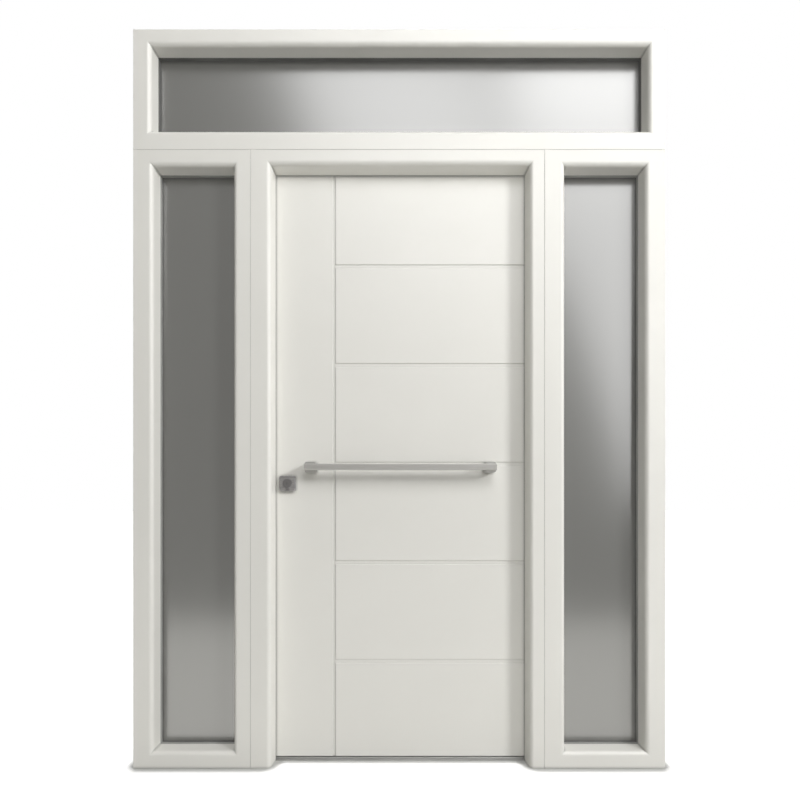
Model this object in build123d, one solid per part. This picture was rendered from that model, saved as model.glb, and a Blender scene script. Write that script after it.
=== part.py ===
from build123d import *

import os

# A wide entrance door set: a top light over a left side light, the door and a right side light.
# Seen from outside: X to the right, Y into the building, Z up, in millimetres.
# The origin is on the floor, under the threshold, in the middle plane of the leaf.

# Overall set
set_width = 1800.0
set_height = 2500.0
frame_depth = 120.0
top_light_height = 407.0
left_light_width = 397.0
right_light_width = 409.0

# Face widths of the frame bars
top_left_face = 63.7
top_right_face = 60.0
top_head_face = 57.3
top_bottom_face = 69.6
side_outer_face = 71.0
side_head_face = 58.3
side_bottom_face = 60.7
left_inner_face = 62.0
right_inner_face = 73.7
lock_jamb_face = 72.7
hinge_jamb_face = 54.0
door_head_face = 55.0

# Section of the frame bars
arris = 1.2
moulding_radius = 15.0
reveal_draft = 4.0
light_lip_depth = 50.0
light_rebate = 17.0
leaf_lap = 12.0

# Glazing
outer_gasket_thickness = 13.0
inner_gasket_thickness = 3.0
gasket_sight = 1.0
pane_thickness = 6.0
spacer_depth = 16.0
spacer_height = 12.0
spacer_inset = 3.0
glass_edge_gap = 4.0
bead_sight = 5.0
bead_bevel = 9.0
bead_nose = 10.0
bead_joint = 0.3

# Leaf
leaf_thickness = 60.0
seal_gap = 5.0
panel_thickness = 8.0
lock_gap = 8.0
hinge_gap = 5.0
head_gap = 5.0
floor_gap = 6.0
stile_width = 110.0
rail_height = 120.0
groove_set_in = 215.6
upright_groove_width = 11.0
upright_groove_depth = 3.0
cross_groove_width = 15.0
cross_groove_depth = 2.5
groove_bevel = 2.0
cross_groove_pitch = 344.5
cross_groove_count = 5

# Threshold and seals
threshold_height = 8.0
threshold_lip = 3.0
threshold_slope = 12.0
bottom_seal_width = 12.0
bottom_seal_drop = 1.0
weather_seal_width = 8.0
weather_seal_inset = 2.0
seal_clearance = 0.3

# Pull handle
pull_length = 654.0
pull_shift = 0.0
pull_centre_z = 1020.0
pull_height = 22.0
pull_thickness = 14.0
pull_projection = 59.0
pull_edge = 2.5
pull_chamfer = 0.8
standoff_width = 38.0
standoff_height = 36.0
standoff_corner = 8.0

# Lock
lock_backset = 54.0
cylinder_z = 965.0
spindle_z = 1050.0
rose_width = 56.0
rose_height = 54.0
rose_corner = 8.0
rose_thickness = 14.0
rose_edge = 2.0
inner_rose_thickness = 9.0
guard_radius = 17.0
guard_thickness = 4.0
guard_edge = 1.2
keyway_width = 3.0
keyway_height = 9.0
keyway_depth = 5.0
plug_radius = 8.5
cylinder_fin_width = 10.0
cylinder_fin_reach = 24.5
cylinder_inner_stand = 3.0
cylinder_clearance = 0.3

# Inner lever
lever_neck_radius = 9.0
lever_neck_length = 42.0
lever_length = 128.0
lever_height = 20.0
lever_thickness = 11.0
lever_edge = 4.0
lever_chamfer = 1.5

# Lock faceplate, bolts and strike
faceplate_width = 22.0
faceplate_length = 230.0
faceplate_thickness = 3.0
faceplate_centre_z = 1015.0
latch_z = 1084.0
latch_height = 34.0
deadbolt_z = 1008.0
deadbolt_height = 40.0
bolt_width = 12.0
bolt_depth = 30.0
bolt_clearance = 0.3
strike_margin = 18.0
strike_width = 28.0
strike_hole_margin = 2.0
strike_pocket_depth = 22.0

# Hinges
hinge_heights = (250.0, 1130.0, 1800.0)
hinge_half_height = 50.0
hinge_slit = 0.5
hinge_axis_inset = 7.0
hinge_stand = 10.0
knuckle_radius = 8.0
pin_radius = 4.0
pin_clearance = 0.05
pin_seat = 5.0
wing_thickness = 3.0
wing_frame_gap = 1.0
wing_frame_width = 25.0
wing_leaf_width = 38.0
wing_web = 12.0

# Places worked out from the sizes above
leaf_recess = frame_depth - leaf_thickness
front_y = -leaf_recess - leaf_thickness / 2
back_y = front_y + frame_depth
door_lip_depth = leaf_recess - seal_gap
left_x = -set_width / 2
right_x = set_width / 2
left_joint_x = left_x + left_light_width
right_joint_x = right_x - right_light_width
transom_z = set_height - top_light_height
leaf_front_y = front_y + leaf_recess
leaf_back_y = leaf_front_y + leaf_thickness
door_lip_y = front_y + door_lip_depth
lip_left_x = left_joint_x + lock_jamb_face
lip_right_x = right_joint_x - hinge_jamb_face
lip_top_z = transom_z - door_head_face
leaf_left_x = lip_left_x - leaf_lap
leaf_right_x = lip_right_x + leaf_lap
leaf_top_z = lip_top_z + leaf_lap
leaf_bottom_z = threshold_height + floor_gap
rebate_left_x = leaf_left_x - lock_gap
rebate_right_x = leaf_right_x + hinge_gap
groove_x = leaf_left_x + groove_set_in
lock_x = leaf_left_x + lock_backset
pull_centre_x = (leaf_left_x + leaf_right_x) / 2 + pull_shift
hinge_x = leaf_right_x + hinge_axis_inset
hinge_y = back_y + hinge_stand
outer_pane_y = front_y + light_lip_depth + outer_gasket_thickness
inner_pane_y = outer_pane_y + pane_thickness + spacer_depth
glass_back_y = inner_pane_y + pane_thickness
bead_y = glass_back_y + inner_gasket_thickness
overrun = 5.0
side_names = ("left", "right", "top", "bottom")


def save(node, shape):
    export_step(shape, f"parts/{node}.step")


def block(low, high):
    """A box from its lowest to its highest corner."""
    size = [high[i] - low[i] for i in range(3)]
    middle = [(high[i] + low[i]) / 2 for i in range(3)]
    return Pos(*middle) * Box(*size)


def prism(points, start_y, end_y):
    """An outline of (x, z) points, run from one depth to another."""
    face = make_face(Polyline([(x, start_y, z) for x, z in points], close=True))
    return extrude(face, amount=end_y - start_y, dir=(0, 1, 0))


class Opening:
    """The clear opening of one frame unit and the widths of the bars around it."""

    def __init__(self, outer, faces):
        self.low_x, self.low_z, self.high_x, self.high_z = outer
        self.faces = dict(zip(side_names, faces))

    def clear(self, grow=0.0):
        """Left, bottom, right and top of the clear opening, grown on every side."""
        return (
            self.low_x + self.faces["left"] - grow,
            self.low_z + self.faces["bottom"] - grow,
            self.high_x - self.faces["right"] + grow,
            self.high_z - self.faces["top"] + grow,
        )

    def side(self, name):
        """Where a bar starts, its run, its direction inward, its length and its two neighbours."""
        width = self.high_x - self.low_x
        height = self.high_z - self.low_z
        places = {
            "left": ((self.low_x, self.low_z), (0, 1), (1, 0), height, "bottom", "top"),
            "right": ((self.high_x, self.high_z), (0, -1), (-1, 0), height, "top", "bottom"),
            "top": ((self.low_x, self.high_z), (1, 0), (0, -1), width, "left", "right"),
            "bottom": ((self.high_x, self.low_z), (-1, 0), (0, 1), width, "right", "left"),
        }
        return places[name]


def to_world(start, run, inward, corners):
    """Points (inward, along) of one side turned into (x, z) points of the set."""
    points = []
    for u, w in corners:
        points.append((start[0] + u * inward[0] + w * run[0], start[1] + u * inward[1] + w * run[1]))
    return points


def mitre_cutter(unit, name, square=()):
    """The part of the unit that one bar may fill: mitred ends, or square where a side has no bar."""
    start, run, inward, length, first, last = unit.side(name)
    width = unit.faces[name]
    reach = width + overrun
    head = unit.faces[first]
    tail = unit.faces[last]
    inner_start = -overrun if first in square else head + overrun
    outer_start = -overrun if first in square else head - width - overrun
    inner_end = length + overrun if last in square else length - tail - overrun
    outer_end = length + overrun if last in square else length - tail + width + overrun
    corners = ((reach, inner_start), (reach, inner_end), (-overrun, outer_end), (-overrun, outer_start))
    return prism(to_world(start, run, inward, corners), front_y - overrun, back_y + overrun)


def run_bar(unit, name, profile):
    """A straight bar of one section along one side of a unit."""
    start, run, inward, length, _, _ = unit.side(name)
    plane = Plane(
        origin=(start[0], front_y, start[1]),
        x_dir=(inward[0], 0, inward[1]),
        z_dir=(run[0], 0, run[1]),
    )
    return extrude(plane * profile, amount=length)


def frame_profile(face, lip_depth, rebate):
    """Section of a frame bar: moulded nose, splayed reveal, lip and the rebate behind it."""
    shoulder = face - reveal_draft
    front = Polyline((0, arris), (arris, 0), (shoulder - moulding_radius, 0))
    nose = CenterArc((shoulder - moulding_radius, moulding_radius), moulding_radius, -90, 90)
    back = Polyline(
        (shoulder, moulding_radius),
        (face, lip_depth),
        (face - rebate, lip_depth),
        (face - rebate, frame_depth),
        (0, frame_depth),
        (0, arris),
    )
    return make_face(Curve() + [front, nose, back])


def frame_bar(unit, name, lip_depth, rebate, square=()):
    profile = frame_profile(unit.faces[name], lip_depth, rebate)
    return run_bar(unit, name, profile) & mitre_cutter(unit, name, square)


def ring(unit, outward, inward, start_y, end_y):
    """A flat ring round a unit's clear opening, from one depth to another."""
    outer = unit.clear(outward)
    inner = unit.clear(-inward)
    whole = block((outer[0], start_y, outer[1]), (outer[2], end_y, outer[3]))
    hole = block((inner[0], start_y - overrun, inner[1]), (inner[2], end_y + overrun, inner[3]))
    return whole - hole


def glass_edge():
    return light_rebate - glass_edge_gap


def panes(unit):
    """The two panes of a sealed unit."""
    low_x, low_z, high_x, high_z = unit.clear(glass_edge())
    outer = block((low_x, outer_pane_y, low_z), (high_x, outer_pane_y + pane_thickness, high_z))
    inner = block((low_x, inner_pane_y, low_z), (high_x, glass_back_y, high_z))
    return Compound(children=[outer, inner])


def spacer(unit):
    """The bar that holds the two panes apart, set in a little from their edges."""
    outward = glass_edge() - spacer_inset
    return ring(unit, outward, spacer_height - outward, outer_pane_y + pane_thickness, inner_pane_y)


def gaskets(unit):
    """Outer gasket between lip and glass, and inner gasket between glass and beads."""
    outer = ring(unit, glass_edge(), gasket_sight, front_y + light_lip_depth, outer_pane_y)
    inner = ring(unit, glass_edge(), gasket_sight, glass_back_y, bead_y)
    return Compound(children=[outer, inner])


def bead_profile(face):
    """Section of a glazing bead, bevelled towards the room."""
    sight = face + bead_sight
    return make_face(
        Polyline(
            (face - light_rebate, bead_y - front_y),
            (sight, bead_y - front_y),
            (sight, bead_y - front_y + bead_nose),
            (sight - bead_bevel, frame_depth),
            (face - light_rebate, frame_depth),
            close=True,
        )
    )


def beads(unit):
    """Four glazing beads with a fine joint at each mitre."""
    bars = []
    for name in side_names:
        bar = run_bar(unit, name, bead_profile(unit.faces[name]))
        bars.append(bar & bead_reach(unit, name))
    return Compound(children=bars)


def bead_reach(unit, name):
    """The mitred field of one bead, drawn back by half the joint at both ends."""
    start, run, inward, length, first, last = unit.side(name)
    width = unit.faces[name]
    head = unit.faces[first] + bead_joint / 2
    tail = unit.faces[last] + bead_joint / 2
    spread = bead_sight + overrun
    corners = (
        (width + spread, head + spread),
        (width + spread, length - tail - spread),
        (width - light_rebate, length - tail + light_rebate),
        (width - light_rebate, head - light_rebate),
    )
    return prism(to_world(start, run, inward, corners), front_y - overrun, back_y + overrun)


def light_unit(prefix, unit, names):
    """All the pieces of one glazed light."""
    for side, node in names.items():
        save(f"{prefix}_{node}", frame_bar(unit, side, light_lip_depth, light_rebate))
    save(f"{prefix}_panes", panes(unit))
    save(f"{prefix}_gaskets", gaskets(unit))
    save(f"{prefix}_beads", beads(unit))


def hinge_jamb(unit):
    return frame_bar(unit, "right", door_lip_depth, leaf_lap + hinge_gap, ("bottom",))


def lock_jamb(unit):
    """Lock-side jamb with the seat of the strike and the pockets behind its holes."""
    jamb = frame_bar(unit, "left", door_lip_depth, leaf_lap + lock_gap, ("bottom",))
    seat_low, seat_high = strike_box()
    jamb -= block(seat_low, (seat_high[0] + overrun, seat_high[1], seat_high[2]))
    for low, high in strike_holes():
        jamb -= block((low[0] - strike_pocket_depth, low[1], low[2]), high)
    return jamb


def strike_box():
    """Lowest and highest corner of the strike plate, flush in the lock jamb."""
    low_z = deadbolt_z - deadbolt_height / 2 - strike_margin
    high_z = latch_z + latch_height / 2 + strike_margin
    low = (rebate_left_x - faceplate_thickness, -strike_width / 2, low_z)
    high = (rebate_left_x, strike_width / 2, high_z)
    return low, high


def strike_holes():
    """Lowest and highest corners of the holes that take latch and deadbolt."""
    holes = []
    for middle, height in ((latch_z, latch_height), (deadbolt_z, deadbolt_height)):
        half_z = height / 2 + strike_hole_margin
        half_y = bolt_width / 2 + strike_hole_margin
        low = (rebate_left_x - faceplate_thickness, -half_y, middle - half_z)
        high = (rebate_left_x + overrun, half_y, middle + half_z)
        holes.append((low, high))
    return holes


def strike_plate():
    plate = block(*strike_box())
    for low, high in strike_holes():
        plate -= block((low[0] - overrun, low[1], low[2]), high)
    return plate


def threshold():
    """Low threshold between the jambs, sloped to the outside."""
    outline = (
        (door_lip_y, 0),
        (back_y, 0),
        (back_y, threshold_height),
        (door_lip_y + threshold_slope, threshold_height),
        (door_lip_y, threshold_lip),
    )
    face = make_face(Polyline([(rebate_left_x, y, z) for y, z in outline], close=True))
    return extrude(face, amount=rebate_right_x - rebate_left_x, dir=(1, 0, 0))


def weather_seal():
    """Rubber seal on the back of the door lip, up both jambs and across the head."""
    start_y = door_lip_y
    end_y = leaf_front_y - seal_clearance
    near = weather_seal_inset
    far = weather_seal_inset + weather_seal_width
    outer = block(
        (lip_left_x - far, start_y, threshold_height),
        (lip_right_x + far, end_y, lip_top_z + far),
    )
    inner = block(
        (lip_left_x - near, start_y - overrun, threshold_height - overrun),
        (lip_right_x + near, end_y + overrun, lip_top_z + near),
    )
    return outer - inner


def cross_groove_heights():
    return [cross_groove_pitch * (i + 1) for i in range(cross_groove_count)]


def groove_cutter(middle, width, depth, surface_y, outward):
    """Bevelled groove section: (across, y) points about a middle line, open to one face."""
    half_top = width / 2
    half_floor = width / 2 - groove_bevel
    mouth = surface_y + outward * overrun
    floor = surface_y - outward * depth
    return (
        (middle - half_top, mouth),
        (middle - half_top, surface_y),
        (middle - half_floor, floor),
        (middle + half_floor, floor),
        (middle + half_top, surface_y),
        (middle + half_top, mouth),
    )


def grooved_panel(low_y, high_y, surface_y, outward):
    """A facing of the leaf with one upright groove and cross grooves to the hinge edge."""
    panel = block((leaf_left_x, low_y, leaf_bottom_z), (leaf_right_x, high_y, leaf_top_z))
    upright = groove_cutter(groove_x, upright_groove_width, upright_groove_depth, surface_y, outward)
    face = make_face(Polyline([(x, y, leaf_bottom_z - overrun) for x, y in upright], close=True))
    panel -= extrude(face, amount=leaf_top_z - leaf_bottom_z + 2 * overrun, dir=(0, 0, 1))
    for z in cross_groove_heights():
        cross = groove_cutter(z, cross_groove_width, cross_groove_depth, surface_y, outward)
        face = make_face(Polyline([(groove_x, y, height) for height, y in cross], close=True))
        panel -= extrude(face, amount=leaf_right_x - groove_x + overrun, dir=(1, 0, 0))
    return panel


def cylinder_profile(clearance):
    """Section of the lock cylinder: a round plug with a narrow fin under it."""
    plug = Circle(plug_radius + clearance)
    fin_height = cylinder_fin_reach + clearance
    fin = Pos(0, -fin_height / 2) * Rectangle(cylinder_fin_width + 2 * clearance, fin_height)
    return plug + fin


def cylinder_bar(start_y, end_y, clearance):
    plane = Plane(origin=(lock_x, end_y, cylinder_z), x_dir=(1, 0, 0), z_dir=(0, -1, 0))
    return extrude(plane * cylinder_profile(clearance), amount=end_y - start_y)


def leaf_pieces():
    """Facings, stiles, rails and core of the leaf, bored for the lock cylinder."""
    core_front = leaf_front_y + panel_thickness
    core_back = leaf_back_y - panel_thickness
    bore = cylinder_bar(leaf_front_y - overrun, leaf_back_y + overrun, cylinder_clearance)
    stile_x = leaf_left_x + stile_width
    hinge_stile_x = leaf_right_x - stile_width
    rail_z = leaf_bottom_z + rail_height
    top_rail_z = leaf_top_z - rail_height
    save("leaf_outer_panel", grooved_panel(leaf_front_y, core_front, leaf_front_y, -1) - bore)
    save("leaf_inner_panel", grooved_panel(core_back, leaf_back_y, leaf_back_y, 1) - bore)
    lock_stile = block((leaf_left_x, core_front, leaf_bottom_z), (stile_x, core_back, leaf_top_z)) - bore
    face_low, face_high = faceplate_box()
    lock_stile -= block((face_low[0] - overrun, face_low[1], face_low[2]), face_high)
    for low, high in bolt_boxes(bolt_clearance):
        lock_stile -= block(low, high)
    save("leaf_lock_stile", lock_stile)
    save(
        "leaf_hinge_stile",
        block((hinge_stile_x, core_front, leaf_bottom_z), (leaf_right_x, core_back, leaf_top_z)),
    )
    bottom = block((stile_x, core_front, leaf_bottom_z), (hinge_stile_x, core_back, rail_z))
    top = block((stile_x, core_front, top_rail_z), (hinge_stile_x, core_back, leaf_top_z))
    save("leaf_rails", Compound(children=[bottom, top]))
    save("leaf_core", block((stile_x, core_front, rail_z), (hinge_stile_x, core_back, top_rail_z)))


def bottom_seal():
    """Rubber strip under the leaf, from stile to stile."""
    low = (leaf_left_x, -bottom_seal_width / 2, leaf_bottom_z - bottom_seal_drop)
    high = (leaf_right_x, bottom_seal_width / 2, leaf_bottom_z)
    return block(low, high)


def faceplate_box():
    half_width = faceplate_width / 2
    half_length = faceplate_length / 2
    low = (leaf_left_x, -half_width, faceplate_centre_z - half_length)
    high = (leaf_left_x + faceplate_thickness, half_width, faceplate_centre_z + half_length)
    return low, high


def bolt_boxes(clearance):
    """Lowest and highest corners of latch and deadbolt, drawn back flush with the faceplate."""
    boxes = []
    for middle, height in ((latch_z, latch_height), (deadbolt_z, deadbolt_height)):
        half_width = bolt_width / 2 + clearance
        half_height = height / 2 + clearance
        low = (leaf_left_x, -half_width, middle - half_height)
        high = (leaf_left_x + bolt_depth + clearance, half_width, middle + half_height)
        boxes.append((low, high))
    return boxes


def lock_faceplate():
    plate = block(*faceplate_box())
    for low, high in bolt_boxes(bolt_clearance):
        plate -= block((low[0] - overrun, low[1], low[2]), high)
    return plate


def lock_bolts():
    return Compound(children=[block(low, high) for low, high in bolt_boxes(0)])


def rounded_plate(width, height, corner, middle, start_y, end_y):
    """A rounded rectangle standing on the leaf, run between two depths."""
    plane = Plane(origin=(middle[0], end_y, middle[1]), x_dir=(1, 0, 0), z_dir=(0, -1, 0))
    return extrude(plane * RectangleRounded(width, height, corner), amount=end_y - start_y)


def outward_edges(shape, y):
    """The edges of a piece that lie wholly in one plane of constant depth."""
    return shape.edges().filter_by_position(Axis.Y, y - 0.01, y + 0.01)


def lock_rose():
    start_y = leaf_front_y - rose_thickness
    rose = rounded_plate(rose_width, rose_height, rose_corner, (lock_x, cylinder_z), start_y, leaf_front_y)
    rose = chamfer(outward_edges(rose, start_y), rose_edge)
    return rose - cylinder_bar(start_y - overrun, leaf_front_y + overrun, cylinder_clearance)


def lock_cylinder():
    """The cylinder through the leaf, with its round guard and keyway on the outside."""
    rose_y = leaf_front_y - rose_thickness
    end_y = leaf_back_y + inner_rose_thickness + cylinder_inner_stand
    bar = cylinder_bar(rose_y, end_y, 0)
    guard = Pos(lock_x, rose_y - guard_thickness / 2, cylinder_z) * Rot(90, 0, 0)
    guard = guard * Cylinder(guard_radius, guard_thickness)
    guard = chamfer(outward_edges(guard, rose_y - guard_thickness), guard_edge)
    keyway = block(
        (lock_x - keyway_width / 2, rose_y - guard_thickness - overrun, cylinder_z - keyway_height / 2),
        (lock_x + keyway_width / 2, rose_y - guard_thickness + keyway_depth, cylinder_z + keyway_height / 2),
    )
    return bar + guard - keyway


def inner_roses():
    """Two roses on the room side: one at the cylinder, one under the lever."""
    start_y = leaf_back_y
    end_y = leaf_back_y + inner_rose_thickness
    low = rounded_plate(rose_width, rose_height, rose_corner, (lock_x, cylinder_z), start_y, end_y)
    low = chamfer(outward_edges(low, end_y), rose_edge)
    low -= cylinder_bar(start_y - overrun, end_y + overrun, cylinder_clearance)
    high = rounded_plate(rose_width, rose_height, rose_corner, (lock_x, spindle_z), start_y, end_y)
    high = chamfer(outward_edges(high, end_y), rose_edge)
    return Compound(children=[low, high])


def inner_lever():
    """Lever on the room side, lying back towards the middle of the leaf."""
    neck_y = leaf_back_y + inner_rose_thickness
    neck = Pos(lock_x, neck_y + lever_neck_length / 2, spindle_z) * Rot(90, 0, 0)
    neck = neck * Cylinder(lever_neck_radius, lever_neck_length)
    grip_y = neck_y + lever_neck_length
    grip = block(
        (lock_x - lever_height / 2, grip_y - lever_thickness, spindle_z - lever_height / 2),
        (lock_x - lever_height / 2 + lever_length, grip_y, spindle_z + lever_height / 2),
    )
    grip = fillet(grip.edges().filter_by(Axis.X), lever_edge)
    return neck + chamfer(grip.edges().group_by(Axis.X)[-1], lever_chamfer)


def pull_bar():
    """Flat brushed pull bar, level across the leaf."""
    start_y = leaf_front_y - pull_projection
    bar = block(
        (pull_centre_x - pull_length / 2, start_y, pull_centre_z - pull_height / 2),
        (pull_centre_x + pull_length / 2, start_y + pull_thickness, pull_centre_z + pull_height / 2),
    )
    bar = fillet(bar.edges().filter_by(Axis.X), pull_edge)
    ends = bar.edges().group_by(Axis.X)
    return chamfer(ends[0] + ends[-1], pull_chamfer)


def pull_standoffs():
    """The two posts that carry the pull bar off the leaf."""
    start_y = leaf_front_y - pull_projection + pull_thickness
    reach = pull_length / 2 - standoff_width / 2
    posts = []
    for x in (pull_centre_x - reach, pull_centre_x + reach):
        middle = (x, pull_centre_z)
        post = rounded_plate(standoff_width, standoff_height, standoff_corner, middle, start_y, leaf_front_y)
        posts.append(post)
    return Compound(children=posts)


def hinge_half(base_z, top_z, wing_points):
    """A wing and its knuckle between two heights."""
    face = make_face(Polyline([(x, y, base_z) for x, y in wing_points], close=True))
    wing = extrude(face, amount=top_z - base_z, dir=(0, 0, 1))
    knuckle = Pos(hinge_x, hinge_y, (base_z + top_z) / 2) * Cylinder(knuckle_radius, top_z - base_z)
    return wing + knuckle


def hinge_bore(base_z, top_z):
    return Pos(hinge_x, hinge_y, (base_z + top_z) / 2) * Cylinder(pin_radius + pin_clearance, top_z - base_z)


def frame_wing_points():
    near = rebate_right_x + wing_frame_gap
    far = near + wing_frame_width
    return (
        (near, back_y),
        (far, back_y),
        (far, back_y + wing_thickness),
        (near + wing_web, back_y + wing_thickness),
        (hinge_x, hinge_y),
        (near, back_y + wing_thickness),
    )


def leaf_wing_points():
    near = leaf_right_x
    far = near - wing_leaf_width
    return (
        (near, back_y),
        (hinge_x, hinge_y),
        (near - wing_web, back_y + wing_thickness),
        (far, back_y + wing_thickness),
        (far, back_y),
    )


def hinges():
    """Frame halves below, leaf halves above, and the pins that join them."""
    frame_halves = []
    leaf_halves = []
    pins = []
    for base_z in hinge_heights:
        middle_z = base_z + hinge_half_height
        top_z = middle_z + hinge_half_height
        lower = hinge_half(base_z, middle_z, frame_wing_points())
        lower -= hinge_bore(base_z + pin_seat, middle_z + overrun)
        upper = hinge_half(middle_z + hinge_slit, top_z, leaf_wing_points())
        upper -= hinge_bore(middle_z - overrun, top_z - pin_seat)
        pin_low = base_z + pin_seat
        pin_high = top_z - pin_seat - hinge_slit
        pin = Pos(hinge_x, hinge_y, (pin_low + pin_high) / 2) * Cylinder(pin_radius, pin_high - pin_low)
        frame_halves.append(lower)
        leaf_halves.append(upper)
        pins.append(pin)
    save("hinge_frame_halves", Compound(children=frame_halves))
    save("hinge_leaf_halves", Compound(children=leaf_halves))
    save("hinge_pins", Compound(children=pins))


def units():
    """The four frame units: outer left, bottom, right, top, and their face widths."""
    top = Opening(
        (left_x, transom_z, right_x, set_height),
        (top_left_face, top_right_face, top_head_face, top_bottom_face),
    )
    left = Opening(
        (left_x, 0, left_joint_x, transom_z),
        (side_outer_face, left_inner_face, side_head_face, side_bottom_face),
    )
    right = Opening(
        (right_joint_x, 0, right_x, transom_z),
        (right_inner_face, side_outer_face, side_head_face, side_bottom_face),
    )
    door = Opening(
        (left_joint_x, 0, right_joint_x, transom_z),
        (lock_jamb_face, hinge_jamb_face, door_head_face, 0),
    )
    return top, left, right, door


def build():
    os.makedirs("parts", exist_ok=True)
    top, left, right, door = units()
    light_unit(
        "top_light",
        top,
        {"left": "left_stile", "right": "right_stile", "top": "head", "bottom": "bottom_rail"},
    )
    light_unit(
        "left_light",
        left,
        {"left": "outer_stile", "right": "inner_stile", "top": "head", "bottom": "bottom_rail"},
    )
    light_unit(
        "right_light",
        right,
        {"left": "inner_stile", "right": "outer_stile", "top": "head", "bottom": "bottom_rail"},
    )
    save("glass_spacers", Compound(children=[spacer(unit) for unit in (top, left, right)]))
    save("door_head", frame_bar(door, "top", door_lip_depth, leaf_lap + head_gap))
    save("lock_jamb", lock_jamb(door))
    save("hinge_jamb", hinge_jamb(door))
    save("threshold", threshold())
    save("weather_seal", weather_seal())
    save("strike_plate", strike_plate())
    hinges()
    leaf_pieces()
    save("leaf_bottom_seal", bottom_seal())
    save("lock_faceplate", lock_faceplate())
    save("lock_bolts", lock_bolts())
    save("lock_rose", lock_rose())
    save("lock_cylinder", lock_cylinder())
    save("inner_roses", inner_roses())
    save("inner_lever", inner_lever())
    save("pull_bar", pull_bar())
    save("pull_standoffs", pull_standoffs())


build()
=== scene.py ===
import bpy
import math
from mathutils import Matrix, Vector


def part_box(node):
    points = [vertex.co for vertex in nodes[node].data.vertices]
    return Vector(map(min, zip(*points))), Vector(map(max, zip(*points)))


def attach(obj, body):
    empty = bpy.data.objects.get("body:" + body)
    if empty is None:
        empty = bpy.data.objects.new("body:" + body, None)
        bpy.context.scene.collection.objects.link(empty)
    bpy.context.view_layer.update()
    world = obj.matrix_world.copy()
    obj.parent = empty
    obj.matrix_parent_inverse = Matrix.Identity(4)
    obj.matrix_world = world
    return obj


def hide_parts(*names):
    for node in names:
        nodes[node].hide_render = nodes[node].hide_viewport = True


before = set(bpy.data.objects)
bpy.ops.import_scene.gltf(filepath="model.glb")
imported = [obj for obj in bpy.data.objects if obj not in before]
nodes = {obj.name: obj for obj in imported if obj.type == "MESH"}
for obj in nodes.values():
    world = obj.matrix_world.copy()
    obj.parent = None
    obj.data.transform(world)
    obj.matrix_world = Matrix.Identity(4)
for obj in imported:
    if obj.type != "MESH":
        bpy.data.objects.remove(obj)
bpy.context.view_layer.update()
print("frame loaded:", len(nodes), "nodes")

# White entrance door set with two side lights and a top light.
# Metres, +X right seen from outside, +Y into the building, +Z up.


# Small helpers

def newTree(name):
    mat = bpy.data.materials.new(name)
    mat.use_nodes = True
    tree = mat.node_tree
    tree.nodes.clear()
    out = tree.nodes.new("ShaderNodeOutputMaterial")
    return mat, tree, out


def addNode(tree, kind, **values):
    node = tree.nodes.new(kind)
    for key, value in values.items():
        setattr(node, key, value)
    return node


def linkNodes(tree, source, sourceName, target, targetName):
    tree.links.new(source.outputs[sourceName], target.inputs[targetName])


def objectCoords(tree, scale=(1, 1, 1), turn=(0, 0, 0)):
    coord = addNode(tree, "ShaderNodeTexCoord")
    mapping = addNode(tree, "ShaderNodeMapping")
    mapping.inputs["Scale"].default_value = scale
    mapping.inputs["Rotation"].default_value = turn
    linkNodes(tree, coord, "Object", mapping, "Vector")
    return mapping


def noiseOn(tree, mapping, scale, detail=3.0, roughness=0.5):
    noise = addNode(tree, "ShaderNodeTexNoise")
    noise.inputs["Scale"].default_value = scale
    noise.inputs["Detail"].default_value = detail
    noise.inputs["Roughness"].default_value = roughness
    linkNodes(tree, mapping, "Vector", noise, "Vector")
    return noise


def spread(tree, source, low, high, fromLow=0.3, fromHigh=0.7, sourceName="Fac"):
    ranged = addNode(tree, "ShaderNodeMapRange")
    ranged.inputs["From Min"].default_value = fromLow
    ranged.inputs["From Max"].default_value = fromHigh
    ranged.inputs["To Min"].default_value = low
    ranged.inputs["To Max"].default_value = high
    linkNodes(tree, source, sourceName, ranged, "Value")
    return ranged


def mixColours(tree, factor, factorName, first, second):
    mix = addNode(tree, "ShaderNodeMix", data_type="RGBA")
    mix.inputs["A"].default_value = (*first, 1)
    mix.inputs["B"].default_value = (*second, 1)
    tree.links.new(factor.outputs[factorName], mix.inputs["Factor"])
    return mix


def bumpFrom(tree, height, heightName, strength, distance, below=None):
    bump = addNode(tree, "ShaderNodeBump")
    bump.inputs["Strength"].default_value = strength
    bump.inputs["Distance"].default_value = distance
    tree.links.new(height.outputs[heightName], bump.inputs["Height"])
    if below:
        linkNodes(tree, below, "Normal", bump, "Normal")
    return bump


def tinted(colour, factor):
    return tuple(min(1.0, channel * factor) for channel in colour)


# Lacquer on the frames and the leaf: sprayed white with a trace of the grain below

lacquer = {
    "frameColour": (0.80, 0.79, 0.75),
    "leafColour": (0.80, 0.79, 0.75),
    "toneChange": 0.97,        # darkest cloud against the plain colour
    "cloudScale": 2.2,
    "sheenScale": 15.4,        # patches of more and less gloss
    "roughLow": 0.34,
    "roughHigh": 0.44,
    "sprayScale": 420.0,       # orange peel, about 2 mm
    "sprayDepth": 0.00003,
    "sprayStrength": 0.5,
    "grainScale": 150.0,       # lines across the bar
    "grainStretch": 0.012,     # along the bar
    "grainDepth": 0.00006,
    "grainStrength": 0.6,
    "ior": 1.45,
    "cornerReach": 0.010,      # painted shade in grooves and joints
    "cornerFrom": 0.55,
    "cornerTo": 0.96,
    "cornerDark": 0.60,
}


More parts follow.
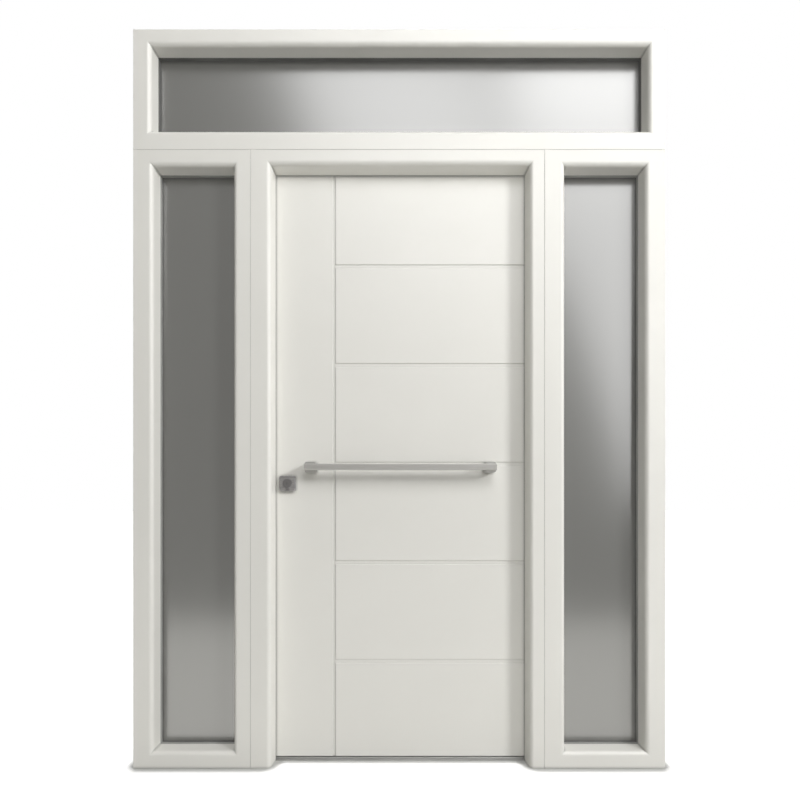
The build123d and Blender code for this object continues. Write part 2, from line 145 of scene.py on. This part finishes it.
def makeLacquer(name, colour, along, grain=1.0):
    mat, tree, out = newTree(name)
    shader = addNode(tree, "ShaderNodeBsdfPrincipled")
    plain = objectCoords(tree)
    cloud = noiseOn(tree, plain, lacquer["cloudScale"], 4.0)
    darker = tinted(colour, lacquer["toneChange"])
    tone = mixColours(tree, spread(tree, cloud, 0, 1), "Result", colour, darker)
    # Ambient occlusion darkens the colour in grooves and joints: painted shade.
    paintedCornerShade = addNode(tree, "ShaderNodeAmbientOcclusion", samples=6)
    paintedCornerShade.inputs["Distance"].default_value = lacquer["cornerReach"]
    corner = spread(tree, paintedCornerShade, lacquer["cornerDark"], 1.0, lacquer["cornerFrom"], lacquer["cornerTo"], "AO")
    shade = addNode(tree, "ShaderNodeVectorMath", operation="SCALE")
    linkNodes(tree, tone, "Result", shade, "Vector")
    linkNodes(tree, corner, "Result", shade, "Scale")
    linkNodes(tree, shade, "Vector", shader, "Base Color")
    sheen = noiseOn(tree, plain, lacquer["sheenScale"], 2.0)
    rough = spread(tree, sheen, lacquer["roughLow"], lacquer["roughHigh"])
    linkNodes(tree, rough, "Result", shader, "Roughness")
    stretch = [1.0, 1.0, 1.0]
    stretch["XYZ".index(along)] = lacquer["grainStretch"]
    lines = noiseOn(tree, objectCoords(tree, stretch), lacquer["grainScale"], 3.0, 0.6)
    grainBump = bumpFrom(tree, lines, "Fac", lacquer["grainStrength"] * grain, lacquer["grainDepth"])
    spray = noiseOn(tree, plain, lacquer["sprayScale"], 2.0)
    sprayBump = bumpFrom(tree, spray, "Fac", lacquer["sprayStrength"], lacquer["sprayDepth"], grainBump)
    linkNodes(tree, sprayBump, "Normal", shader, "Normal")
    shader.inputs["IOR"].default_value = lacquer["ior"]
    linkNodes(tree, shader, "BSDF", out, "Surface")
    return mat


# Satin glass: etched, grey in the mass, with soft reflections

glass = {
    "colour": (0.100, 0.100, 0.095),
    "cloudColour": (0.096, 0.096, 0.091),
    "rough": (0.238, 0.248),
    "sideRough": (0.195, 0.205),
    "cloudScale": 1.5,
    "etchScale": 1400.0,
    "etchDepth": 0.000002,
    "etchStrength": 0.4,
    "ior": 2.2,
    "through": 0.15,
}


def makeGlass(name, roughness):
    mat, tree, out = newTree(name)
    shader = addNode(tree, "ShaderNodeBsdfPrincipled")
    plain = objectCoords(tree)
    cloud = noiseOn(tree, plain, glass["cloudScale"], 3.0)
    tone = mixColours(tree, cloud, "Fac", glass["colour"], glass["cloudColour"])
    linkNodes(tree, tone, "Result", shader, "Base Color")
    rough = spread(tree, cloud, *roughness, 0.0, 1.0)
    linkNodes(tree, rough, "Result", shader, "Roughness")
    etch = noiseOn(tree, plain, glass["etchScale"], 1.0)
    etched = bumpFrom(tree, etch, "Fac", glass["etchStrength"], glass["etchDepth"])
    linkNodes(tree, etched, "Normal", shader, "Normal")
    shader.inputs["IOR"].default_value = glass["ior"]
    shader.inputs["Transmission Weight"].default_value = glass["through"]
    linkNodes(tree, shader, "BSDF", out, "Surface")
    return mat


# Metals

metal = {
    "steelColour": (0.365, 0.36, 0.35),
    "steelDark": (0.295, 0.291, 0.281),
    "steelRough": (0.42, 0.50),
    "lockColour": (0.40, 0.392, 0.398),
    "lockDark": (0.23, 0.225, 0.23),
    "lockRough": (0.15, 0.23),
    "cylinderColour": (0.24, 0.235, 0.24),
    "cylinderDark": (0.15, 0.146, 0.15),
    "cylinderRough": (0.14, 0.22),
    "silverColour": (0.72, 0.72, 0.71),
    "silverDark": (0.62, 0.62, 0.61),
    "silverRough": (0.32, 0.42),
    "sillColour": (0.52, 0.52, 0.51),
    "sillDark": (0.43, 0.43, 0.42),
    "sillRough": (0.38, 0.50),
    "brushScale": 900.0,
    "brushStretch": 0.015,
    "brushDepth": 0.00002,
    "brushStrength": 0.5,
    "patchScale": 14.0,        # worn and polished patches
}


def makeMetal(name, colour, dark, rough, along, brushed=1.0, anisotropic=0.0):
    mat, tree, out = newTree(name)
    shader = addNode(tree, "ShaderNodeBsdfPrincipled")
    stretch = [1.0, 1.0, 1.0]
    stretch["XYZ".index(along)] = metal["brushStretch"]
    streaks = noiseOn(tree, objectCoords(tree, stretch), metal["brushScale"], 3.0, 0.65)
    patches = noiseOn(tree, objectCoords(tree), metal["patchScale"], 3.0)
    tone = mixColours(tree, spread(tree, streaks, 0, 1), "Result", colour, dark)
    linkNodes(tree, tone, "Result", shader, "Base Color")
    linkNodes(tree, spread(tree, patches, rough[0], rough[1]), "Result", shader, "Roughness")
    brush = bumpFrom(tree, streaks, "Fac", metal["brushStrength"] * brushed, metal["brushDepth"])
    linkNodes(tree, brush, "Normal", shader, "Normal")
    shader.inputs["Metallic"].default_value = 1.0
    shader.inputs["Anisotropic"].default_value = anisotropic
    linkNodes(tree, shader, "BSDF", out, "Surface")
    return mat


# Rubber seals

rubber = {
    "colour": (0.105, 0.105, 0.102),
    "worn": (0.145, 0.145, 0.140),
    # The side-light gaskets are the same rubber as the top light's, painted lighter where light falls on
    # them: painted light.
    "litGasketColour": (0.30, 0.30, 0.29),
    "litGasketWorn": (0.36, 0.36, 0.35),
    "cloudScale": 9.0,
    "roughLow": 0.55,
    "roughHigh": 0.75,
    "poreScale": 600.0,
    "poreDepth": 0.00005,
    "poreStrength": 0.5,
}


def makeRubber(name, colour, worn):
    mat, tree, out = newTree(name)
    shader = addNode(tree, "ShaderNodeBsdfPrincipled")
    plain = objectCoords(tree)
    cloud = noiseOn(tree, plain, rubber["cloudScale"], 4.0)
    tone = mixColours(tree, spread(tree, cloud, 0, 1), "Result", colour, worn)
    linkNodes(tree, tone, "Result", shader, "Base Color")
    rough = spread(tree, cloud, rubber["roughLow"], rubber["roughHigh"])
    linkNodes(tree, rough, "Result", shader, "Roughness")
    pores = noiseOn(tree, plain, rubber["poreScale"], 2.0)
    pitted = bumpFrom(tree, pores, "Fac", rubber["poreStrength"], rubber["poreDepth"])
    linkNodes(tree, pitted, "Normal", shader, "Normal")
    linkNodes(tree, shader, "BSDF", out, "Surface")
    return mat


# Wood filling between the facings, seen only at the edges of the leaf

filling = {
    "colour": (0.55, 0.42, 0.27),
    "dark": (0.40, 0.29, 0.17),
    "grainScale": 60.0,
    "grainStretch": 0.04,      # along the height of the leaf
    "grainStrength": 0.4,
    "grainDepth": 0.0002,
    "rough": (0.6, 0.8),
}


def makeFilling(name):
    mat, tree, out = newTree(name)
    shader = addNode(tree, "ShaderNodeBsdfPrincipled")
    stretched = objectCoords(tree, (1, 1, filling["grainStretch"]))
    lines = noiseOn(tree, stretched, filling["grainScale"], 5.0, 0.6)
    tone = mixColours(tree, spread(tree, lines, 0, 1), "Result", filling["colour"], filling["dark"])
    linkNodes(tree, tone, "Result", shader, "Base Color")
    linkNodes(tree, spread(tree, lines, *filling["rough"]), "Result", shader, "Roughness")
    grain = bumpFrom(tree, lines, "Fac", filling["grainStrength"], filling["grainDepth"])
    linkNodes(tree, grain, "Normal", shader, "Normal")
    linkNodes(tree, shader, "BSDF", out, "Surface")
    return mat


frameUpright = makeLacquer("frameLacquerUpright", lacquer["frameColour"], "Z")
frameLevel = makeLacquer("frameLacquerLevel", lacquer["frameColour"], "X")
leafLacquer = makeLacquer("leafLacquer", lacquer["leafColour"], "Z", 0.3)
topGlass = makeGlass("satinGlassTop", glass["rough"])
sideGlass = makeGlass("satinGlassSides", glass["sideRough"])
brushedSteel = makeMetal(
    "brushedSteel", metal["steelColour"], metal["steelDark"], metal["steelRough"], "X", 1.0, 0.4
)
lockMetal = makeMetal("darkLockMetal", metal["lockColour"], metal["lockDark"], metal["lockRough"], "X")
cylinderMetal = makeMetal(
    "polishedCylinderMetal", metal["cylinderColour"], metal["cylinderDark"], metal["cylinderRough"], "Z", 0.4
)
silverMetal = makeMetal("silverMetal", metal["silverColour"], metal["silverDark"], metal["silverRough"], "Z")
sillMetal = makeMetal("sillMetal", metal["sillColour"], metal["sillDark"], metal["sillRough"], "X")
sealRubber = makeRubber("sealRubber", rubber["colour"], rubber["worn"])
litGasketRubber = makeRubber("litGasketRubber", rubber["litGasketColour"], rubber["litGasketWorn"])
woodFilling = makeFilling("leafFilling")
print("materials made")


# Finishes on the fixed nodes

uprightBars = (
    "top_light_left_stile", "top_light_right_stile", "left_light_outer_stile", "left_light_inner_stile",
    "right_light_inner_stile", "right_light_outer_stile", "lock_jamb", "hinge_jamb",
)
levelBars = (
    "top_light_head", "top_light_bottom_rail", "left_light_head", "left_light_bottom_rail",
    "right_light_head", "right_light_bottom_rail", "door_head",
    "top_light_beads", "left_light_beads", "right_light_beads",
)
finishes = {
    frameUpright: uprightBars,
    frameLevel: levelBars,
    leafLacquer: (
        "leaf_outer_panel", "leaf_inner_panel", "leaf_lock_stile", "leaf_hinge_stile", "leaf_rails",
    ),
    woodFilling: ("leaf_core",),
    topGlass: ("top_light_panes",),
    sideGlass: ("left_light_panes", "right_light_panes"),
    sealRubber: ("top_light_gaskets", "weather_seal", "leaf_bottom_seal"),
    # Lighter copy of the gasket rubber: painted light on the side-light gaskets.
    litGasketRubber: ("left_light_gaskets", "right_light_gaskets"),
    brushedSteel: ("pull_bar", "pull_standoffs", "inner_lever"),
    lockMetal: ("lock_rose",),
    cylinderMetal: ("lock_cylinder",),
    silverMetal: (
        "hinge_frame_halves", "hinge_leaf_halves", "hinge_pins", "strike_plate", "lock_faceplate",
        "lock_bolts", "glass_spacers", "inner_roses",
    ),
    sillMetal: ("threshold",),
}
for mat, names in finishes.items():
    for name in names:
        mesh = nodes[name].data
        mesh.materials.clear()
        mesh.materials.append(mat)
print("finishes on", sum(len(names) for names in finishes.values()), "nodes")


# Repeated and path-following details, made with Geometry Nodes and kept as plain meshes

def newGroup(name, sockets):
    group = bpy.data.node_groups.new(name, "GeometryNodeTree")
    group.interface.new_socket("Geometry", in_out="INPUT", socket_type="NodeSocketGeometry")
    for label, kind in sockets.items():
        group.interface.new_socket(label, in_out="INPUT", socket_type="NodeSocket" + kind)
    group.interface.new_socket("Geometry", in_out="OUTPUT", socket_type="NodeSocketGeometry")
    return group, addNode(group, "NodeGroupInput"), addNode(group, "NodeGroupOutput")


def mathNode(group, operation, first, second):
    node = addNode(group, "ShaderNodeMath", operation=operation)
    for place, value in enumerate((first, second)):
        if isinstance(value, (int, float)):
            node.inputs[place].default_value = value
        else:
            group.links.new(value, node.inputs[place])
    return node.outputs["Value"]


def vectorOf(group, x=0.0, y=0.0, z=0.0):
    node = addNode(group, "ShaderNodeCombineXYZ")
    for label, value in (("X", x), ("Y", y), ("Z", z)):
        if isinstance(value, (int, float)):
            node.inputs[label].default_value = value
        else:
            group.links.new(value, node.inputs[label])
    return node.outputs["Vector"]


def endGroup(group, source, finish, out):
    realize = addNode(group, "GeometryNodeRealizeInstances")
    paint = addNode(group, "GeometryNodeSetMaterial")
    group.links.new(source, realize.inputs["Geometry"])
    linkNodes(group, realize, "Geometry", paint, "Geometry")
    group.links.new(finish, paint.inputs["Material"])
    linkNodes(group, paint, "Geometry", out, "Geometry")


def wireObject(name, points, edges=(), facing=None):
    mesh = bpy.data.meshes.new(name)
    mesh.from_pydata(points, edges, [])
    if facing:
        layer = mesh.attributes.new("facing", "FLOAT_VECTOR", "POINT")
        for place, direction in enumerate(facing):
            layer.data[place].vector = direction
    wire = bpy.data.objects.new(name, mesh)
    bpy.context.scene.collection.objects.link(wire)
    return wire


def keepAsMesh(name, wire, group, values, body):
    modifier = wire.modifiers.new(group.name, "NODES")
    modifier.node_group = group
    for item in group.interface.items_tree:
        if item.in_out == "INPUT" and item.name in values:
            modifier[item.identifier] = values[item.name]
    graph = bpy.context.evaluated_depsgraph_get()
    mesh = bpy.data.meshes.new_from_object(wire.evaluated_get(graph), depsgraph=graph)
    mesh.name = name
    wire.modifiers.remove(modifier)
    bpy.data.objects.remove(wire)
    piece = bpy.data.objects.new(name, mesh)
    bpy.context.scene.collection.objects.link(piece)
    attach(piece, body)
    return piece


# Countersunk screws of the strike plate, the lock faceplate and the hinge wings

screws = {
    "headRadius": 0.0038,
    "topShare": 0.93,          # the head's upper rim against its full radius
    "headRise": 0.00035,       # proud of the plate
    "headDepth": 0.0016,
    "crossLength": 0.0046,
    "crossWidth": 0.0009,
    "crossDepth": 0.0011,
    "sides": 32,
    "seed": 7,
    "plateInset": 0.010,       # from the ends of the plates
    "wingInset": 0.011,        # from the ends of a hinge half
    "frameWingX": 0.472,
    "leafWingX": 0.424,
    "wingFaceY": 0.033,
    "wingHeight": 0.05,
    "hingeStarts": (0.25, 1.13, 1.80),     # foot of each hinge's lower half
}


def makeScrewGroup():
    group, start, out = newGroup("screwSet", {
        "Head Radius": "Float", "Top Share": "Float", "Head Rise": "Float", "Head Depth": "Float",
        "Cross Length": "Float", "Cross Width": "Float", "Cross Depth": "Float",
        "Sides": "Int", "Seed": "Int", "Finish": "Material",
    })
    given = start.outputs
    head = addNode(group, "GeometryNodeMeshCone")
    group.links.new(given["Sides"], head.inputs["Vertices"])
    rim = mathNode(group, "MULTIPLY", given["Head Radius"], given["Top Share"])
    group.links.new(rim, head.inputs["Radius Top"])
    group.links.new(given["Head Radius"], head.inputs["Radius Bottom"])
    group.links.new(mathNode(group, "ADD", given["Head Rise"], given["Head Depth"]), head.inputs["Depth"])
    sunk = addNode(group, "GeometryNodeTransform")
    linkNodes(group, head, "Mesh", sunk, "Geometry")
    drop = mathNode(group, "MULTIPLY", given["Head Depth"], -1.0)
    group.links.new(vectorOf(group, z=drop), sunk.inputs["Translation"])
    cut = addNode(group, "GeometryNodeMeshBoolean", operation="DIFFERENCE", solver="EXACT")
    linkNodes(group, sunk, "Geometry", cut, "Mesh 1")
    tall = mathNode(group, "MULTIPLY", given["Cross Depth"], 2.0)
    long, wide = given["Cross Length"], given["Cross Width"]
    for across, along in ((long, wide), (wide, long)):
        arm = addNode(group, "GeometryNodeMeshCube")
        group.links.new(vectorOf(group, across, along, tall), arm.inputs["Size"])
        lift = addNode(group, "GeometryNodeTransform")
        linkNodes(group, arm, "Mesh", lift, "Geometry")
        group.links.new(vectorOf(group, z=given["Head Rise"]), lift.inputs["Translation"])
        linkNodes(group, lift, "Geometry", cut, "Mesh 2")
    facing = addNode(group, "GeometryNodeInputNamedAttribute", data_type="FLOAT_VECTOR")
    facing.inputs["Name"].default_value = "facing"
    align = addNode(group, "FunctionNodeAlignRotationToVector", axis="Z")
    linkNodes(group, facing, "Attribute", align, "Vector")
    chance = addNode(group, "FunctionNodeRandomValue", data_type="FLOAT")
    chance.inputs[3].default_value = math.pi / 2
    group.links.new(given["Seed"], chance.inputs["Seed"])
    twist = addNode(group, "FunctionNodeEulerToRotation")
    group.links.new(vectorOf(group, z=chance.outputs[1]), twist.inputs["Euler"])
    turned = addNode(group, "FunctionNodeRotateRotation", rotation_space="LOCAL")
    linkNodes(group, align, "Rotation", turned, "Rotation")
    linkNodes(group, twist, "Rotation", turned, "Rotate By")
    place = addNode(group, "GeometryNodeInstanceOnPoints")
    group.links.new(given["Geometry"], place.inputs["Points"])
    linkNodes(group, cut, "Mesh", place, "Instance")
    linkNodes(group, turned, "Rotation", place, "Rotation")
    endGroup(group, place.outputs["Instances"], given["Finish"], out)
    return group


def screwValues(finish):
    return {
        "Head Radius": screws["headRadius"], "Top Share": screws["topShare"],
        "Head Rise": screws["headRise"], "Head Depth": screws["headDepth"],
        "Cross Length": screws["crossLength"], "Cross Width": screws["crossWidth"],
        "Cross Depth": screws["crossDepth"],
        "Sides": screws["sides"], "Seed": screws["seed"], "Finish": finish,
    }


def plateScrews(node, side):
    low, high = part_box(node)
    x = high[0] if side > 0 else low[0]
    middle = (low[1] + high[1]) / 2
    inset = screws["plateInset"]
    return [(x, middle, z) for z in (low[2] + inset, high[2] - inset)]


def wingScrews(x, starts):
    height, inset = screws["wingHeight"], screws["wingInset"]
    return [(x, screws["wingFaceY"], z + shift) for z in starts for shift in (inset, height - inset)]


def makeScrews():
    group = makeScrewGroup()
    lower = screws["hingeStarts"]
    upper = [z + screws["wingHeight"] for z in lower]
    jobs = (
        ("frame_screws", "frame", "strike_plate", 1, screws["frameWingX"], lower),
        ("leaf_screws", "leaf", "lock_faceplate", -1, screws["leafWingX"], upper),
    )
    for name, body, plate, side, wingX, starts in jobs:
        plates, wings = plateScrews(plate, side), wingScrews(wingX, starts)
        facing = [(side, 0, 0)] * len(plates) + [(0, 1, 0)] * len(wings)
        wire = wireObject(name + "Points", plates + wings, (), facing)
        keepAsMesh(name, wire, group, screwValues(silverMetal), body)
    print("screws made")


makeScrews()


# Anti-slip ribs along the front of the threshold, clear of the leaf's bottom seal

ribs = {
    "count": 6,
    "spacing": 0.004,
    "firstY": -0.032,
    "endInset": 0.012,
    "radius": 0.0007,
    "proud": 0.0004,
    "roundness": 12,
}


def makeRibs():
    group, start, out = newGroup("ribRow", {
        "Count": "Int", "Spacing": "Float", "Radius": "Float", "Roundness": "Int", "Finish": "Material",
    })
    given = start.outputs
    curve = addNode(group, "GeometryNodeMeshToCurve")
    profile = addNode(group, "GeometryNodeCurvePrimitiveCircle")
    bar = addNode(group, "GeometryNodeCurveToMesh")
    row = addNode(group, "GeometryNodeMeshLine")
    place = addNode(group, "GeometryNodeInstanceOnPoints")
    group.links.new(given["Geometry"], curve.inputs["Mesh"])
    group.links.new(given["Radius"], profile.inputs["Radius"])
    group.links.new(given["Roundness"], profile.inputs["Resolution"])
    linkNodes(group, curve, "Curve", bar, "Curve")
    linkNodes(group, profile, "Curve", bar, "Profile Curve")
    bar.inputs["Fill Caps"].default_value = True
    group.links.new(given["Count"], row.inputs["Count"])
    group.links.new(vectorOf(group, y=given["Spacing"]), row.inputs["Offset"])
    linkNodes(group, row, "Mesh", place, "Points")
    linkNodes(group, bar, "Mesh", place, "Instance")
    endGroup(group, place.outputs["Instances"], given["Finish"], out)
    low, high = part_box("threshold")
    z = high[2] + ribs["proud"] - ribs["radius"]
    left, right = low[0] + ribs["endInset"], high[0] - ribs["endInset"]
    path = wireObject("ribPath", [(left, ribs["firstY"], z), (right, ribs["firstY"], z)], [(0, 1)])
    values = {
        "Count": ribs["count"], "Spacing": ribs["spacing"], "Radius": ribs["radius"],
        "Roundness": ribs["roundness"], "Finish": sillMetal,
    }
    keepAsMesh("threshold_ribs", path, group, values, "frame")
    print("threshold ribs made")


makeRibs()


# Weather seal on the door lip: a bulb on a flat foot that follows the jambs and the head

sealShape = {
    "bulbRadius": 0.00235,
    "footWidth": 0.0078,
    "footThickness": 0.0012,
    "cornerRadius": 0.006,
    "cornerSteps": 8,
    "roundness": 20,
}


def makeWeatherSeal():
    group, start, out = newGroup("sealOnPath", {
        "Bulb Radius": "Float", "Foot Width": "Float", "Foot Thickness": "Float", "Foot Shift": "Float",
        "Corner Radius": "Float", "Roundness": "Int", "Finish": "Material",
    })
    given = start.outputs
    curve = addNode(group, "GeometryNodeMeshToCurve")
    bend = addNode(group, "GeometryNodeFilletCurve", mode="POLY")
    bend.inputs["Count"].default_value = sealShape["cornerSteps"]
    group.links.new(given["Geometry"], curve.inputs["Mesh"])
    linkNodes(group, curve, "Curve", bend, "Curve")
    group.links.new(given["Corner Radius"], bend.inputs["Radius"])
    circle = addNode(group, "GeometryNodeCurvePrimitiveCircle")
    group.links.new(given["Bulb Radius"], circle.inputs["Radius"])
    group.links.new(given["Roundness"], circle.inputs["Resolution"])
    foot = addNode(group, "GeometryNodeCurvePrimitiveQuadrilateral")
    group.links.new(given["Foot Width"], foot.inputs["Width"])
    group.links.new(given["Foot Thickness"], foot.inputs["Height"])
    both = addNode(group, "GeometryNodeJoinGeometry")
    for profile in (circle, foot):
        tube = addNode(group, "GeometryNodeCurveToMesh")
        tube.inputs["Fill Caps"].default_value = True
        linkNodes(group, bend, "Curve", tube, "Curve")
        linkNodes(group, profile, "Curve", tube, "Profile Curve")
        last = tube.outputs["Mesh"]
        if profile is foot:
            shift = addNode(group, "GeometryNodeTransform")
            group.links.new(last, shift.inputs["Geometry"])
            group.links.new(vectorOf(group, y=given["Foot Shift"]), shift.inputs["Translation"])
            last = shift.outputs["Geometry"]
        group.links.new(last, both.inputs["Geometry"])
    endGroup(group, both.outputs["Geometry"], given["Finish"], out)
    low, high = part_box("weather_seal")
    half = sealShape["footWidth"] / 2
    y = (low[1] + high[1]) / 2
    left, right, top = low[0] + half, high[0] - half, high[2] - half
    corners = [(left, y, low[2]), (left, y, top), (right, y, top), (right, y, low[2])]
    footShift = low[1] + sealShape["footThickness"] / 2 - y
    values = {
        "Bulb Radius": sealShape["bulbRadius"], "Foot Width": sealShape["footWidth"],
        "Foot Thickness": sealShape["footThickness"], "Foot Shift": footShift,
        "Corner Radius": sealShape["cornerRadius"], "Roundness": sealShape["roundness"],
        "Finish": sealRubber,
    }
    path = wireObject("sealPath", corners, [(0, 1), (1, 2), (2, 3)])
    seal = keepAsMesh("weather_seal_bulb", path, group, values, "frame")
    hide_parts("weather_seal")
    print("weather seal made")


makeWeatherSeal()


# Floor, lights and camera

studio = {
    "cameraPlace": (0.0, -1.92, 0.925),
    "focal": 24.36,            # mm on a 36 mm sensor
    "shiftX": 0.0009,
    "shiftY": 0.11875,
    "floorSize": 60.0,
    "floorColour": (0.50, 0.50, 0.49),
    "floorGlow": 0.93,         # lifts the pale floor to the white of the background
    "contactReach": 0.040,
    "contactFrom": 0.70,       # share of open sky where the glow has faded out
    "worldLight": 0.25,
    "bounceTint": (1.0, 0.985, 0.93),
    "cardGlow": 0.70,
    "nearGlow": 2.08,
    "cardDepth": 5.0,
    "floorCardStart": 2.15,
    "nearCardEnd": 0.2,
    "cardReach": 9.0,          # half its width
    "cardHeight": 8.0,
    "cardLift": 0.002,         # over the floor
}
# Diffuse lights shade the lacquer. Glossy ones show only as reflections in the glass and the metal.
# Each line: place, point that it faces, roll in degrees, width, height, radiance, what it lights.
softboxes = {
    "keySoftbox": ((5.2, -4.1, 3.4), (0, 0, 1.2), 0, 1.4, 1.1, 50.5, "diffuse"),
    "overheadSoftbox": ((1.3, -4.2, 5.4), (1.3, 0, 1.0), 0, 3.5, 2.3, 5.7, "diffuse"),
    "rightPanel": ((3.57, -4.03, 7.39), (3.57, 0, 7.39), 18.5, 6.0, 12.0, 3.05, "glossy"),
    "topPanel": ((-0.31, -3.93, 5.84), (-0.31, 0, 5.84), 18.0, 1.9, 6.0, 3.7, "glossy"),
    "cornerPanel": ((3.3, -4.23, 6.8), (3.3, 0, 6.8), 0, 4.0, 4.0, 2.5, "glossy"),
    "edgePanel": ((5.2, -4.1, 3.35), (0, 0, 1.2), 0, 1.6, 1.6, 14.0, "glossy"),
    "roomSoftbox": ((-0.6, 4.5, 3.0), (0, 0, 1.2), 0, 3.0, 2.4, 5.0, "diffuse"),
}


def seenRays(tree):
    path = addNode(tree, "ShaderNodeLightPath")
    shiny = addNode(tree, "ShaderNodeMath", operation="MAXIMUM")
    seen = addNode(tree, "ShaderNodeMath", operation="MAXIMUM")
    linkNodes(tree, path, "Is Camera Ray", shiny, 0)
    linkNodes(tree, path, "Is Glossy Ray", shiny, 1)
    linkNodes(tree, shiny, "Value", seen, 0)
    linkNodes(tree, path, "Is Transmission Ray", seen, 1)
    return seen


def makeWorld():
    world = bpy.data.worlds.new("studioWorld")
    bpy.context.scene.world = world
    world.use_nodes = True
    tree = world.node_tree
    tree.nodes.clear()
    out = addNode(tree, "ShaderNodeOutputWorld")
    back = addNode(tree, "ShaderNodeBackground")
    seen = seenRays(tree)
    tint = mixColours(tree, seen, "Value", studio["bounceTint"], (1, 1, 1))
    linkNodes(tree, tint, "Result", back, "Color")
    strength = spread(tree, seen, studio["worldLight"], 1.0, 0.0, 1.0, "Value")
    linkNodes(tree, strength, "Result", back, "Strength")
    linkNodes(tree, back, "Background", out, "Surface")


def flatPiece(name, corners):
    mesh = bpy.data.meshes.new(name)
    mesh.from_pydata(corners, [], [(0, 1, 2, 3)])
    piece = bpy.data.objects.new(name, mesh)
    bpy.context.scene.collection.objects.link(piece)
    return piece


def makeFloor():
    half = studio["floorSize"] / 2
    floor = flatPiece("studioFloor", [(-half, -half, 0), (half, -half, 0), (half, half, 0), (-half, half, 0)])
    mat, tree, out = newTree("studioFloor")
    diffuse = addNode(tree, "ShaderNodeBsdfDiffuse")
    diffuse.inputs["Color"].default_value = (*studio["floorColour"], 1)
    # Near the door set the glow fades out: a painted contact shadow on the floor.
    near = addNode(tree, "ShaderNodeAmbientOcclusion", samples=8)
    near.inputs["Distance"].default_value = studio["contactReach"]
    openness = spread(tree, near, 0.0, studio["floorGlow"], studio["contactFrom"], 1.0, "AO")
    strength = addNode(tree, "ShaderNodeMath", operation="MULTIPLY")
    linkNodes(tree, openness, "Result", strength, 0)
    linkNodes(tree, seenRays(tree), "Value", strength, 1)
    glow = addNode(tree, "ShaderNodeEmission")
    linkNodes(tree, strength, "Value", glow, "Strength")
    both = addNode(tree, "ShaderNodeAddShader")
    linkNodes(tree, diffuse, "BSDF", both, 0)
    linkNodes(tree, glow, "Emission", both, 1)
    linkNodes(tree, both, "Shader", out, "Surface")
    floor.data.materials.append(mat)


def makeCard(name, corners, glow):
    card = flatPiece(name, corners)
    mat, tree, out = newTree(name)
    shader = addNode(tree, "ShaderNodeEmission")
    shader.inputs["Color"].default_value = (*studio["bounceTint"], 1)
    shader.inputs["Strength"].default_value = glow
    linkNodes(tree, shader, "Emission", out, "Surface")
    card.data.materials.append(mat)
    for kind in ("camera", "diffuse", "transmission", "shadow"):
        setattr(card, "visible_" + kind, False)


# The overhead light is blocked by the pull and the lock alone, so the reveals stay open and pale.
pullShadow = bpy.data.collections.new("pullShadow")
for name in ("pull_bar", "pull_standoffs", "lock_rose", "lock_cylinder"):
    pullShadow.objects.link(nodes[name])


def makeSoftbox(name, place, target, roll, width, height, radiance, lights):
    data = bpy.data.lights.new(name, "AREA")
    data.shape = "RECTANGLE"
    data.size = width
    data.size_y = height
    data.energy = radiance * width * height * math.pi
    light = bpy.data.objects.new(name, data)
    bpy.context.scene.collection.objects.link(light)
    aim = (Vector(target) - Vector(place)).to_track_quat("-Z", "Y").to_matrix().to_4x4()
    light.matrix_world = Matrix.Translation(place) @ aim @ Matrix.Rotation(math.radians(roll), 4, "Z")
    light.visible_camera = False
    light.visible_diffuse = lights == "diffuse"
    light.visible_glossy = lights == "glossy"
    light.visible_transmission = False
    if name == "overheadSoftbox":
        light.light_linking.blocker_collection = pullShadow


def makeCamera():
    data = bpy.data.cameras.new("photoCamera")
    data.lens = studio["focal"]
    data.sensor_width = 36
    data.shift_x = studio["shiftX"]
    data.shift_y = studio["shiftY"]
    camera = bpy.data.objects.new("photoCamera", data)
    bpy.context.scene.collection.objects.link(camera)
    camera.location = studio["cameraPlace"]
    camera.rotation_euler = (math.pi / 2, 0, 0)
    bpy.context.scene.camera = camera


def makeStudio():
    makeWorld()
    makeFloor()
    makeCamera()
    for name, values in softboxes.items():
        makeSoftbox(name, *values)
    wide, tall, deep = studio["cardReach"], studio["cardHeight"], studio["cardDepth"]
    lift, start, near = studio["cardLift"], studio["floorCardStart"], studio["nearCardEnd"]

    def strip(far, close):
        return [(-wide, -far, lift), (wide, -far, lift), (wide, -close, lift), (-wide, -close, lift)]

    upright = [(-wide, -deep, 0), (wide, -deep, 0), (wide, -deep, tall), (-wide, -deep, tall)]
    makeCard("backCard", upright, studio["cardGlow"])
    makeCard("floorCard", strip(deep, start), studio["cardGlow"])
    makeCard("nearCard", strip(start, near), studio["nearGlow"])
    bpy.context.scene.view_settings.view_transform = "Standard"
    print("studio made")


makeStudio()
